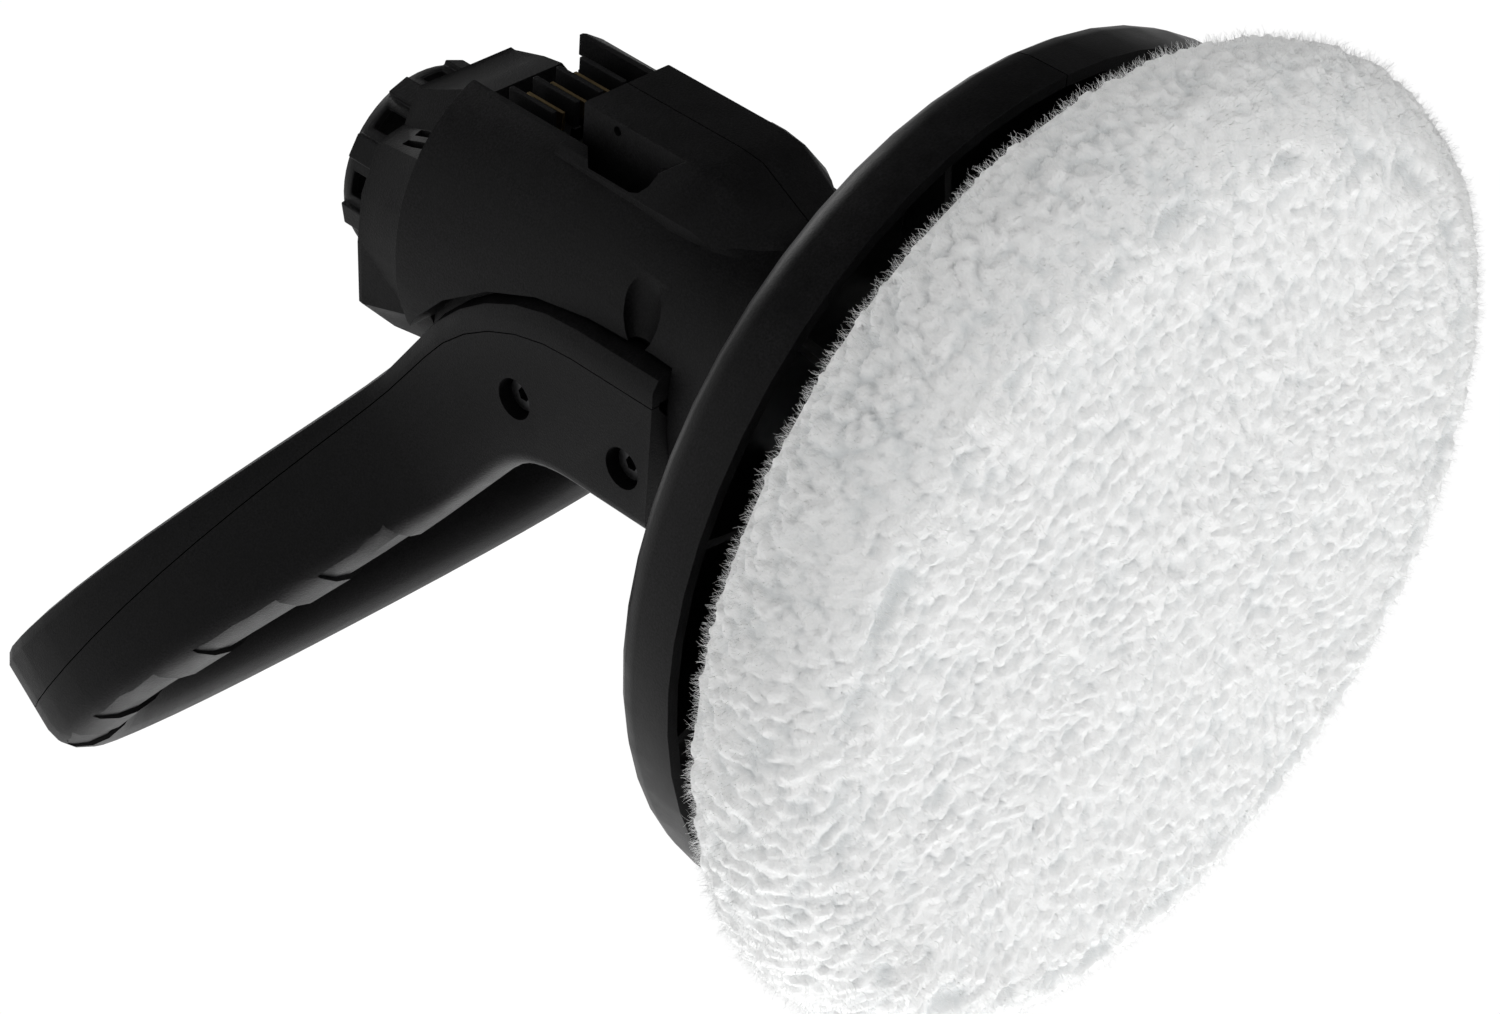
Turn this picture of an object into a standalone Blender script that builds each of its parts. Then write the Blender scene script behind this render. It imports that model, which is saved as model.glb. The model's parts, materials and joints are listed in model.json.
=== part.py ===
"""Cordless rotary polisher with a loop handle.

A wool bonnet covers a round foam pad on a planetary-geared spindle. Two housing halves, parted
at X = 0, carry the shallow shroud, the motor barrel and the battery dock. A wide loop handle is
bolted to both sides of the barrel.

Dimensions are in millimetres, and MM turns them into metres where meshes are made. The origin is
the centre of the pad's working face. +Z is the spindle axis towards the motor, +Y is the side of
the battery dock, and the handle reaches towards -Y. The outside is symmetric about X = 0.
"""

import math

import bmesh
import bpy
from mathutils import Vector
from mathutils.geometry import interpolate_bezier

MM = 0.001
GAP = 0.3
MERGE = 0.00001

# Pad and bonnet
BONNET_R = 127.0
BONNET_HEIGHT = 39.8
BONNET_MOUTH_R = 101.0
BONNET_FACE = 10.0
PAD_R = 117.0
PAD_TOP = 30.0
PAD_HOLE_R = 13.0
PLATE_R = 115.0
PLATE_TOP = 34.5
HUB_R = 24.0
HUB_TOP = 44.0
HEM_R = 99.0

# Shroud
SHROUD_R = 113.5
SHROUD_WALL = 3.0
LIP_Z = 49.0
RIM_Z = 65.0
SHROUD_BACK_Z = 84.0
RIB_ANGLES = (15, 45, 75, 105, 135, 165)
SHROUD_STEPS = 56

# Barrel
BARREL_TOP = 219.0
BARREL_SIDE = 43.5
CAVITY_SIDE = 27.0
NECK_CAVITY_R = 35.0
NECK_CAVITY_TOP = 125.0

# Battery dock
DOCK_FLOOR_Y = 30.0
DOCK_HALF = 18.0
RAIL_HALF = 22.0
BLOCK_HALF = 14.5
BLOCK_REAR_Z = 183.3
HUMP_TOP = 50.5
LIP_Y = 41.8
TROUGH_END_Z = 153.0

# Rear collar and end cap
COLLAR_TOP = 242.0
CAP_R = 27.5
CAP_Y = -6.5
CAP_TOP = 261.0
CAP_SLOTS = 9

# Loop handle
HANDLE_FACE_X = 41.9
HANDLE_SEAT_X = 30.0
BLOCK_LOW_Z = 128.0
BLOCK_MID_Y = -14.0
BEND_START_Z = 156.3
BEND_R = 50.0
BEND = math.radians(52.5)
BEND_TO_LOOP = 22.0
LOOP_HALF_WIDTH = 115.5
LOOP_WIDEST = 108.0
LOOP_LENGTH = 163.4
LOOP_STEPS = 12
ARM_THICK = 26.0
BLOCK_WIDTH = 47.0
BLOCK_PARTING = 15.0
ARM_WIDTH = 40.0
END_WIDTH = 35.0
HANDLE_WALL = 2.6
UNDERSIDE = 0.40
POCKET_HALF = 10.2
POCKET_DEPTH = 1.3
POCKET_SLANT = 5.0
SCREW_Y = -21.3
SCREW_Z = (136.9, 175.6)

# Gear train
MODULE = 1.0
PRESSURE = math.radians(25)
SUN_TEETH = 12
PLANET_TEETH = 18
RING_TEETH = SUN_TEETH + 2 * PLANET_TEETH
PLANET_ORBIT = MODULE * (SUN_TEETH + PLANET_TEETH) / 2
ADDENDUM = 0.75
DEDENDUM = 1.1
BACKLASH = 0.25
GEAR_LOW = 104.0
GEAR_HIGH = 114.0

# Motor
CAN_R = 25.0
CAN_LOW = 132.0
CAN_HIGH = 204.0
SHAFT_R = 3.0
SHAFT_TOP = 228.0
FAN_R = 20.0
FAN_BLADES = 7

PLASTIC = ("black_plastic", (0.012, 0.012, 0.013), 0.48, 0.0)
COVER = ("dark_plastic", (0.010, 0.010, 0.011), 0.42, 0.0)
WOOL = ("white_wool", (0.86, 0.87, 0.86), 0.95, 0.0)
FOAM = ("grey_foam", (0.09, 0.09, 0.10), 0.95, 0.0)
STEEL = ("steel", (0.45, 0.45, 0.46), 0.32, 1.0)
DARK_STEEL = ("black_steel", (0.03, 0.03, 0.03), 0.35, 1.0)
BRASS = ("brass", (0.70, 0.50, 0.20), 0.30, 1.0)
CAST = ("cast_aluminium", (0.40, 0.41, 0.42), 0.45, 1.0)
NYLON = ("white_nylon", (0.75, 0.73, 0.66), 0.45, 0.0)
COPPER = ("copper_windings", (0.55, 0.24, 0.12), 0.40, 1.0)
CARBON = ("carbon", (0.02, 0.02, 0.02), 0.60, 0.0)
BOARD = ("green_board", (0.02, 0.12, 0.05), 0.50, 0.0)
ELASTIC = ("white_elastic", (0.75, 0.75, 0.73), 0.80, 0.0)
RED = ("red_insulation", (0.45, 0.02, 0.02), 0.45, 0.0)
BLACK = ("black_insulation", (0.02, 0.02, 0.02), 0.45, 0.0)


# ---------------------------------------------------------------- scene and materials

def clear_scene():
    for obj in list(bpy.data.objects):
        bpy.data.objects.remove(obj, do_unlink=True)


def make_collection(name):
    collection = bpy.data.collections.new(name)
    bpy.context.scene.collection.children.link(collection)
    return collection


clear_scene()
PARTS = make_collection("rotary_polisher")
CUTTERS = make_collection("cutters")


def get_material(spec):
    name, colour, roughness, metallic = spec
    material = bpy.data.materials.get(name)
    if material is None:
        material = bpy.data.materials.new(name)
        material.use_nodes = True
        shader = material.node_tree.nodes["Principled BSDF"]
        shader.inputs["Base Color"].default_value = (*colour, 1.0)
        shader.inputs["Roughness"].default_value = roughness
        shader.inputs["Metallic"].default_value = metallic
    return material


def add_object(name, mesh, spec=None):
    """Link a mesh as a part when it has a material, and as a hidden cutter when it has none."""
    obj = bpy.data.objects.new(name, mesh)
    if spec is None:
        CUTTERS.objects.link(obj)
        obj.hide_render = True
        obj.display_type = "WIRE"
    else:
        PARTS.objects.link(obj)
        mesh.materials.append(get_material(spec))
    return obj


def from_bmesh(name, bm, spec=None, sharp_angle=35):
    """Make an object of a closed bmesh, with its faces turned to point outwards."""
    bmesh.ops.recalc_face_normals(bm, faces=bm.faces)
    if bm.calc_volume(signed=True) < 0:
        bmesh.ops.reverse_faces(bm, faces=bm.faces)
    mesh = bpy.data.meshes.new(name)
    bm.to_mesh(mesh)
    bm.free()
    mesh.shade_smooth()
    mesh.set_sharp_from_angle(angle=math.radians(sharp_angle))
    return add_object(name, mesh, spec)


def combine(obj, other, operation="DIFFERENCE"):
    modifier = obj.modifiers.new(operation.lower(), "BOOLEAN")
    modifier.operation = operation
    modifier.solver = "EXACT"
    modifier.object = other
    return obj


# ---------------------------------------------------------------- shapes

def box(name, low, high, spec=None, bevel=0.0):
    bm = bmesh.new()
    bmesh.ops.create_cube(bm, size=1.0)
    for vert in bm.verts:
        for axis in range(3):
            share = vert.co[axis] + 0.5
            vert.co[axis] = (low[axis] + (high[axis] - low[axis]) * share) * MM
    if bevel:
        bmesh.ops.bevel(bm, geom=list(bm.edges), offset=bevel * MM, segments=1, affect="EDGES")
    return from_bmesh(name, bm, spec)


def cylinder(name, radius, low, high, spec=None, segments=32, axis="Z", centre=(0, 0)):
    """A cylinder from low to high along an axis, with its centre in the other two axes."""
    bm = bmesh.new()
    bmesh.ops.create_cone(bm, cap_ends=True, segments=segments, radius1=radius * MM,
                          radius2=radius * MM, depth=(high - low) * MM)
    middle = (low + high) / 2
    for vert in bm.verts:
        x, y, z = vert.co
        if axis == "X":
            vert.co = Vector((z + middle * MM, x + centre[0] * MM, y + centre[1] * MM))
        else:
            vert.co = Vector((x + centre[0] * MM, y + centre[1] * MM, z + middle * MM))
    return from_bmesh(name, bm, spec)


def turned(name, profile, spec=None, steps=32, centre=(0, 0)):
    """Turn a profile of (radius, height) about Z: outer side top to bottom, closed off the axis."""
    mesh = bpy.data.meshes.new(name)
    points = [(radius * MM, 0, height * MM) for radius, height in profile]
    edges = [(i, i + 1) for i in range(len(points) - 1)]
    if profile[0][0] > 0:
        edges.append((len(points) - 1, 0))
    mesh.from_pydata(points, edges, [])
    obj = add_object(name, mesh, spec)
    obj.location = (centre[0] * MM, centre[1] * MM, 0)
    screw = obj.modifiers.new("turn", "SCREW")
    screw.axis = "Z"
    screw.angle = math.tau
    screw.steps = steps
    screw.render_steps = steps
    screw.use_merge_vertices = True
    screw.merge_threshold = MERGE
    return obj


def ring_profile(inner, outer, low, high):
    return [(inner, high), (outer, high), (outer, low), (inner, low)]


def loft(name, rings, spec=None, split=False):
    """Skin rings of points in millimetres and cap both ends; split cuts warped quads in two."""
    bm = bmesh.new()
    levels = [[bm.verts.new(Vector(point) * MM) for point in ring] for ring in rings]
    count = len(rings[0])
    for lower, upper in zip(levels, levels[1:]):
        for i in range(count):
            j = (i + 1) % count
            bm.faces.new((lower[i], lower[j], upper[j], upper[i]))
    bm.faces.new(levels[0])
    bm.faces.new(levels[-1])
    if split:
        bmesh.ops.triangulate(bm, faces=[face for face in bm.faces if len(face.verts) == 4])
    return from_bmesh(name, bm, spec)


def prism(name, outline, low, high, spec=None, plane="XY"):
    """Extrude a flat outline: plane XY along Z, XZ along Y, or YZ along X."""
    def place(point, height):
        a, b = point
        return {"XY": (a, b, height), "XZ": (a, height, b), "YZ": (height, a, b)}[plane]
    rings = [[place(point, height) for point in outline] for height in (low, high)]
    return loft(name, rings, spec)


def oval(z, side, top, bottom, power, count=40):
    """A superellipse ring at height z, with its own reach towards +Y and towards -Y."""
    ring = []
    for i in range(count):
        angle = math.tau * i / count
        c, s = math.cos(angle), math.sin(angle)
        x = side * math.copysign(abs(c) ** (2 / power), c)
        reach = top if s > 0 else bottom
        y = reach * math.copysign(abs(s) ** (2 / power), s)
        ring.append((x, y, z))
    return ring


def polar(radius, degrees):
    angle = math.radians(degrees)
    return radius * math.cos(angle), radius * math.sin(angle)


# ---------------------------------------------------------------- pad, plate and bonnet

def make_bonnet():
    """The wool cover: a thick face, a full-round edge and a mouth gathered over the plate."""
    edge_r = BONNET_HEIGHT / 2
    arc = [(BONNET_R - edge_r + edge_r * math.cos(math.radians(a)),
            edge_r + edge_r * math.sin(math.radians(a))) for a in (75, 50, 25, 0, -25, -50, -75)]
    inner = [(0, BONNET_FACE), (PAD_R + 1, BONNET_FACE), (PAD_R + 1, PLATE_TOP + 1),
             (BONNET_MOUTH_R, PLATE_TOP + 1), (BONNET_MOUTH_R, BONNET_HEIGHT)]
    face = [(BONNET_R - edge_r, 0), (0, 0)]
    return turned("wool_bonnet", inner + arc + face, WOOL, steps=44)


def make_pad_stack():
    turned("foam_pad", ring_profile(PAD_HOLE_R, PAD_R, BONNET_FACE + GAP, PAD_TOP), FOAM, 40)
    plate = [(4.4, HUB_TOP), (HUB_R, HUB_TOP), (HUB_R, PLATE_TOP + 2), (PLATE_R, PLATE_TOP),
             (PLATE_R, PAD_TOP + GAP), (4.4, PAD_TOP + GAP)]
    turned("backing_plate", plate, COVER, 40)
    turned("elastic_hem", ring_profile(HEM_R - 2.5, HEM_R + 1.2, PLATE_TOP + 2.5, 39.0), ELASTIC, 40)
    turned("pad_washer", ring_profile(4.4, 10.0, 28.2, PAD_TOP), STEEL, 24)
    bolt = [(0, 58), (4, 58), (4, 27.9), (7, 27.9), (7, 22.5), (3, 22.5), (3, 25), (0, 25)]
    turned("pad_bolt", bolt, DARK_STEEL, 24)


# ---------------------------------------------------------------- gear train

def involute(angle):
    return math.tan(angle) - angle


def tooth_outline(teeth, inner, outer, play):
    """A gear's outline with involute flanks; play widens each tooth at the pitch circle."""
    pitch = MODULE * teeth / 2
    base = pitch * math.cos(PRESSURE)
    outline = []
    for tooth in range(teeth):
        flank = []
        for radius in (inner, pitch, outer):
            slope = math.acos(min(1.0, base / radius))
            half = math.pi / (2 * teeth) + play / (2 * pitch)
            flank.append((radius, half + involute(PRESSURE) - involute(slope)))
        middle = math.tau * tooth / teeth
        for radius, half in flank:
            outline.append((radius * math.cos(middle - half), radius * math.sin(middle - half)))
        for radius, half in reversed(flank):
            outline.append((radius * math.cos(middle + half), radius * math.sin(middle + half)))
    return outline


def gear(name, teeth, bore, spec):
    pitch = MODULE * teeth / 2
    outline = tooth_outline(teeth, pitch - DEDENDUM, pitch + ADDENDUM, -BACKLASH)
    wheel = prism(name, outline, GEAR_LOW, GEAR_HIGH, spec)
    hole = cylinder(name + "_bore", bore, GEAR_LOW - 1, GEAR_HIGH + 1, segments=16)
    hole.parent = wheel
    return combine(wheel, hole)


def make_gears():
    gear("sun_gear", SUN_TEETH, SHAFT_R + GAP, STEEL)
    pitch = MODULE * RING_TEETH / 2
    ring = cylinder("ring_gear", 30.2, GEAR_LOW - 1, GEAR_HIGH + 1, STEEL, segments=40)
    spaces = tooth_outline(RING_TEETH, pitch - ADDENDUM, pitch + DEDENDUM, BACKLASH)
    cut = prism("ring_spaces", spaces, GEAR_LOW - 2, GEAR_HIGH + 2)
    cut.rotation_euler.z = math.pi / RING_TEETH
    combine(ring, cut)
    for k in range(3):
        angle = math.tau * k / 3
        planet = gear(f"planet_gear_{k + 1}", PLANET_TEETH, 3.3, STEEL)
        planet.location = (*(Vector(polar(PLANET_ORBIT, 120 * k)) * MM), 0)
        planet.rotation_euler.z = angle + math.pi / PLANET_TEETH
        pin = cylinder(f"planet_pin_{k + 1}", 3.0, 98.5, GEAR_HIGH + 0.5, STEEL, 20)
        pin.location = planet.location


def make_spindle():
    """Output shaft and planet carrier in one, with the threaded hole for the pad bolt."""
    profile = [(0, 102), (21, 102), (21, 98), (6, 97.5), (6, HUB_TOP + GAP), (4.3, HUB_TOP + GAP),
               (4.3, 62), (0, 62)]
    spindle = turned("spindle", profile, STEEL, 32)
    for k in range(3):
        hole = cylinder(f"pin_hole_{k + 1}", 3.3, 98.2, 104, segments=20,
                        centre=polar(PLANET_ORBIT, 120 * k))
        combine(spindle, hole)


def make_gearbox():
    cover = [(16.3, 60), (20, 60), (20, 76), (34.5, 76), (34.5, 80), (20, 80), (20, 96.5),
             (16.3, 96.5), (16.3, 85), (8, 85), (8, 71.5), (16.3, 71.5)]
    turned("gearbox_cover", list(reversed(cover)), CAST, 24)
    top = NECK_CAVITY_TOP - 0.6
    case = [(10, top), (33.5, top), (33.5, 80.3), (30.5, 80.3), (30.5, top - 3), (10, top - 3)]
    turned("gearbox_housing", case, CAST, 24)
    bearing("spindle_bearing_lower", 6.3, 16.0, 61.0, 71.2)
    bearing("spindle_bearing_upper", 6.3, 16.0, 85.3, 95.5)


def bearing(name, inner, outer, low, high):
    """A shielded ball bearing, with its outer faces chamfered towards the bore."""
    middle = (inner + outer) / 2
    profile = [(inner, high - 0.6), (middle, high), (outer, high), (outer, low), (middle, low),
               (inner, low + 0.6)]
    return turned(name, profile, STEEL, 20)


# ---------------------------------------------------------------- motor

def make_motor():
    can = [(8.3, 139), (22.5, 139), (22.5, CAN_HIGH), (CAN_R, CAN_HIGH), (CAN_R, CAN_LOW),
           (5, CAN_LOW), (5, CAN_LOW + 1.2), (8.3, CAN_LOW + 1.2)]
    turned("motor_can", can, STEEL, 32)
    bell = [(4.5, 212.5), (10, 212.5), (10, 208), (CAN_R, 208), (CAN_R, CAN_HIGH + GAP),
            (10, CAN_HIGH + GAP), (10, 203.5), (8.3, 203.5), (8.3, 211.3), (4.5, 211.3)]
    turned("motor_end_bell", bell, CAST, 32)
    bearing("motor_bearing_front", SHAFT_R + GAP, 8.0, 133.5, 138.5)
    bearing("motor_bearing_rear", SHAFT_R + GAP, 8.0, 205.5, 211.0)
    cylinder("motor_shaft", SHAFT_R, GEAR_LOW - 1, SHAFT_TOP, STEEL, 20)
    turned("rotor_core", ring_profile(SHAFT_R + GAP, 18.5, 146, 188), COPPER, 24)
    turned("commutator", ring_profile(SHAFT_R + GAP, 7.0, 191, 202), BRASS, 24)
    for index, side in enumerate((1, -1), start=1):
        low, high = sorted((side * 7.6, side * 14))
        box(f"carbon_brush_{index}", (low, -3, 193), (high, 3, 200), CARBON)
        magnet(f"motor_magnet_{index}", 90 * side)


def magnet(name, middle):
    spread = range(-60, 61, 15)
    outer = [polar(22.2, middle + a) for a in spread]
    inner = [polar(19.3, middle + a) for a in reversed(spread)]
    prism(name, outer + inner, 146, 188, CARBON)


def make_fan():
    """The cooling fan behind the motor: a hub, a disc and straight blades."""
    hub = [(SHAFT_R + GAP, 226), (7, 226), (7, 218), (FAN_R, 218), (FAN_R, 216),
           (SHAFT_R + GAP, 216)]
    fan = turned("cooling_fan", hub, NYLON, 24)
    for k in range(FAN_BLADES):
        angle = 360 * k / FAN_BLADES + 4
        blade = radial_box(f"fan_blade_{k + 1}", angle, 5.5, FAN_R - 0.4, 0.8, 217, 224.5)
        combine(fan, blade, "UNION")


# ---------------------------------------------------------------- housing

def barrel_rings():
    """Sections of the barrel from the neck, past the dock's hump, to the collar's seat."""
    sections = [(70, 58, 58, 58, 2.0), (87, 48.5, 48.5, 48.5, 2.0), (95, 44.5, 44.8, 45.5, 2.0),
                (107, 40.5, 40.5, 42.5, 2.1), (120, 37.5, 40.5, 43.5, 2.2), (135, 36.3, 43, 44.5, 2.3),
                (152, 37, 46, 45.5, 2.3), (185, 39.5, 47, 46, 2.2),
                (BARREL_TOP, BARREL_SIDE, 46, 46, 2.1)]
    return [oval(*section) for section in sections]


def shroud_profile(wall):
    """The dish from its back to its lip; wall is how far inside the outer surface it lies."""
    corner = [(SHROUD_R - 8 + (8 - wall) * math.cos(math.radians(a)),
               RIM_Z - 5 + (8 - wall) * math.sin(math.radians(a))) for a in (75, 50, 25, 0)]
    lip = LIP_Z if wall == 0 else LIP_Z - 1
    back = SHROUD_BACK_Z - wall
    return [(0, back), (50, back), (72, 78 - wall)] + corner + [(SHROUD_R - wall, lip), (0, lip)]


def rib_cutter():
    """Radial stiffening ribs under the shroud's back, as wedges that end inside its wall."""
    bm = bmesh.new()
    side = [(40, 66), (SHROUD_R - 1.5, 57), (SHROUD_R - 1.5, 61), (104, 66.5), (72, 76.3), (50, 82)]
    for degrees in RIB_ANGLES + tuple(-a for a in RIB_ANGLES):
        angle = math.radians(90 + degrees)
        along = Vector((math.cos(angle), math.sin(angle), 0))
        across = Vector((-along.y, along.x, 0))
        faces = []
        for shift in (-1.1, 1.1):
            points = [along * r + across * shift + Vector((0, 0, z)) for r, z in side]
            faces.append([bm.verts.new(point * MM) for point in points])
        near, far = faces
        bm.faces.new(near)
        bm.faces.new(far)
        for i in range(len(side)):
            j = (i + 1) % len(side)
            bm.faces.new((near[i], near[j], far[j], far[i]))
    return from_bmesh("shroud_ribs", bm)


def make_hump():
    """The boxy hump that carries the dock's raised block and slopes down to the neck."""
    sections = ((BLOCK_REAR_Z, BLOCK_HALF, HUMP_TOP, 24), (143.5, BLOCK_HALF, HUMP_TOP, 24),
                (136.5, BLOCK_HALF - 0.5, HUMP_TOP - 0.7, 23), (122, 12.5, 42, 19), (110, 9, 36, 14))
    rings = []
    for z, half, top, base in sections:
        right = [(base - 2, 25), (base, top - 10.5), (half + 0.6, top - 0.6), (half - 0.6, top)]
        rings.append([(x, y, z) for x, y in right] + [(-x, y, z) for x, y in reversed(right)])
    return loft("dock_hump", rings)


def cavity_cutters():
    """The dish and the neck above it in one turned cavity, then the motor's and the hump's."""
    back = SHROUD_BACK_Z - SHROUD_WALL
    neck = [(0, NECK_CAVITY_TOP), (NECK_CAVITY_R, NECK_CAVITY_TOP), (NECK_CAVITY_R, back)]
    dish = turned("shroud_cavity", neck + shroud_profile(SHROUD_WALL)[1:], steps=SHROUD_STEPS)
    motor = [oval(z, CAVITY_SIDE, 27, low, 3.2, 24) for z, low in
             ((119, 36), (150, 36), (158, 42.5), (BARREL_TOP + 2, 42.5))]
    hump = box("hump_cavity", (-11.5, 20, 141), (11.5, 47.5, 180.5))
    return [dish, loft("motor_cavity", motor), hump]


def dock_cutters():
    """The recess round the raised block, the rail slots beside it and the blade window."""
    arc = [(BLOCK_HALF + 4.5 + 4.5 * math.cos(math.radians(a)),
            TROUGH_END_Z + 4.5 + 4.5 * math.sin(math.radians(a))) for a in range(0, -181, -30)]
    right = [(DOCK_HALF, BARREL_TOP + 2), (DOCK_HALF, 178), (BLOCK_HALF + 9, 172)] + arc
    right += [(BLOCK_HALF, BLOCK_REAR_Z)]
    outline = right + [(-x, z) for x, z in reversed(right)]
    recess = prism("dock_recess", outline, DOCK_FLOOR_Y, 60, plane="XZ")
    rails = box("dock_rails", (-RAIL_HALF, DOCK_FLOOR_Y + 1.5, 172), (RAIL_HALF, 36, BARREL_TOP + 2))
    keep = box("rail_keep", (-BLOCK_HALF, 28, 160), (BLOCK_HALF, 40, BLOCK_REAR_Z))
    combine(rails, keep)
    side = [(60, BARREL_TOP + 2), (LIP_Y, BARREL_TOP + 2), (LIP_Y, 166), (LIP_Y + 1.3, 159),
            (LIP_Y + 4.2, 153), (HUMP_TOP + 0.3, 147.2), (60, 141)]
    lip = prism("dock_lip", side, -60, 60, plane="YZ")
    combine(lip, box("lip_keep", (-BLOCK_HALF, 35, 130), (BLOCK_HALF, 61, BLOCK_REAR_Z)))
    pin = cylinder("block_pin_hole", 1.3, -17, 17, segments=12, axis="X", centre=(47.6, 171.5))
    combine(pin, box("pin_hole_keep", (-13, 40, 160), (13, 55, 180)))
    return [recess, rails, lip, pin]


def side_cutters():
    """Flats for the handle, scallops at the neck, and the holes that the screws need."""
    cutters = []
    reach = BEND_R + BLOCK_WIDTH / 2 + 1
    bend = [(BLOCK_MID_Y - BEND_R + reach * math.cos(turn), BEND_START_Z + reach * math.sin(turn))
            for turn in (0, BEND / 4, BEND / 2, BEND * 3 / 4, BEND)]
    foot, top = BLOCK_LOW_Z - GAP, BARREL_TOP + 1
    outline = [(-60, foot), (bend[0][0], foot)] + bend + [(bend[-1][0] - 6, top), (-60, top)]
    for side, tag in ((1, "left"), (-1, "right")):
        low, high = sorted((side * (HANDLE_SEAT_X - GAP), side * 60))
        cutters.append(prism(f"handle_seat_{tag}", outline, low, high, plane="YZ"))
        for index, z in enumerate(SCREW_Z, start=1):
            low, high = sorted((side * 20, side * 40))
            name = f"screw_pass_{tag}_{index}"
            cutters.append(cylinder(name, 2.5, low, high, axis="X", segments=16, centre=(SCREW_Y, z)))
        cutters.append(scallop(side, tag))
    return cutters


def scallop(side, tag):
    bm = bmesh.new()
    bmesh.ops.create_uvsphere(bm, u_segments=16, v_segments=10, radius=1.0)
    for vert in bm.verts:
        x, y, z = vert.co
        vert.co = Vector((side * 34.6 + 4.2 * x, 23 + 15 * y + 2 * z, 141 + 6.0 * z)) * MM
    return from_bmesh(f"scallop_{tag}", bm)


HOUSING_SCREWS = ((38.8, 98.4), (-39.4, 98.4), (37.3, 132), (-40.4, 137))


def housing_screw_cutters():
    cutters = []
    for index, place in enumerate(HOUSING_SCREWS, start=1):
        name = f"housing_screw_hole_{index}"
        cutters.append(cylinder(name, 1.7, -16, 13, axis="X", segments=12, centre=place))
        name = f"housing_screw_recess_{index}"
        cutters.append(cylinder(name, 2.9, -60, -14, axis="X", segments=16, centre=place))
    return cutters


def make_housing():
    """Both halves from the same outer form, cavities and cuts, kept to one side of X = 0."""
    dish = turned("shroud_form", shroud_profile(0), steps=SHROUD_STEPS)
    hump = make_hump()
    ribs = rib_cutter()
    rib_clear = cylinder("rib_clear", NECK_CAVITY_R + 4, 50, 74, segments=40)
    combine(ribs, rib_clear)
    window = box("switch_window", (-7.3, -60, 188.7), (7.3, -38, 209.3))
    cuts = cavity_cutters() + dock_cutters() + side_cutters() + housing_screw_cutters() + [window]
    for name, low, high in (("left_housing", GAP / 2, 130), ("right_housing", -130, -GAP / 2)):
        half = loft(name, barrel_rings(), PLASTIC)
        combine(half, dish, "UNION")
        combine(half, hump, "UNION")
        for cutter in cuts[:3]:
            combine(half, cutter)
        combine(half, ribs, "UNION")
        for cutter in cuts[3:]:
            combine(half, cutter)
        keep = box(name + "_keep", (low, -130, 40), (high, 130, 240))
        combine(half, keep, "INTERSECT")
    for index, place in enumerate(HOUSING_SCREWS, start=1):
        screw_x(f"housing_screw_{index}", -14.3, 12.5, 2.6, 2.2, 1.4, place, DARK_STEEL)


def screw_x(name, head_x, tip_x, head_r, head_depth, shank_r, place, spec):
    """A screw lying along X: its head's seat is at head_x and its shank reaches to tip_x."""
    side = math.copysign(1, head_x - tip_x)
    low, high = sorted((head_x, head_x + side * head_depth))
    head = cylinder(name, head_r, low, high, spec, 20, "X", place)
    low, high = sorted((tip_x, head_x + side * 0.5))
    combine(head, cylinder(name + "_shank", shank_r, low, high, None, 12, "X", place), "UNION")
    low, high = sorted((head_x + side * 1.0, head_x + side * 10))
    combine(head, cylinder(name + "_drive", head_r * 0.45, low, high, None, 6, "X", place))
    return head


# ---------------------------------------------------------------- collar, cap and dock parts

def make_collar():
    """The faceted rear collar, with its flat land behind the dock and a through hole."""
    base = [(12.5, 35.4), (20.5, 25), (31, 21), (36, 6), (37, -10), (29.3, -27), (22, -39), (8, -44)]
    rear = [(16, 28.5), (20.5, 19), (29, 17.5), (34.8, 4), (36, -10), (35.5, -28.5), (24, -40.5),
            (8, -44)]

    def ring(z, share):
        half = [Vector(a).lerp(Vector(b), share) for a, b in zip(base, rear)]
        return [(p.x, p.y, z) for p in half] + [(-p.x, p.y, z) for p in reversed(half)]
    rings = [ring(BARREL_TOP + GAP, 0), ring(227, 0.25), ring(COLLAR_TOP - 1.5, 1), ring(COLLAR_TOP, 0.97)]
    collar = loft("rear_collar", rings, PLASTIC, split=True)
    combine(collar, cylinder("collar_bore", 24.0, 210, 250, segments=28, centre=(0, -3)))
    for side in (1, -1):
        for index, shift in enumerate((0, 4.2)):
            low, high = sorted((side * (20.7 + shift), side * (22.9 + shift)))
            name = f"collar_slot_{index + 1}_{'left' if side > 0 else 'right'}"
            combine(collar, box(name, (low, 16.6, 224.4), (high, 40, 235.3)))


def make_end_cap():
    """The vented rear cap: a cup with a stepped rim, wall slots and raised lugs."""
    base = COLLAR_TOP + GAP
    profile = [(0, CAP_TOP), (CAP_R - 5, CAP_TOP), (CAP_R - 1, CAP_TOP - 2.5), (CAP_R, CAP_TOP - 5),
               (CAP_R, base), (CAP_R - 2.5, base), (CAP_R - 2.5, CAP_TOP - 5.5),
               (CAP_R - 5.5, CAP_TOP - 2.6), (0, CAP_TOP - 2.6)]
    cap = turned("motor_end_cap", profile, COVER, 54, centre=(0, CAP_Y))
    for k in range(CAP_SLOTS):
        angle = 360 * k / CAP_SLOTS + 10
        slot = radial_box(f"cap_slot_{k + 1}", angle, 20, 32, 3.2, base + 3, CAP_TOP - 6.5, CAP_Y)
        combine(cap, slot)
        lug = radial_box(f"cap_lug_{k + 1}", angle + 20, CAP_R - 2, CAP_R + 1.2, 3.4, base + 1,
                         CAP_TOP - 4, CAP_Y)
        combine(cap, lug, "UNION")


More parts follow.
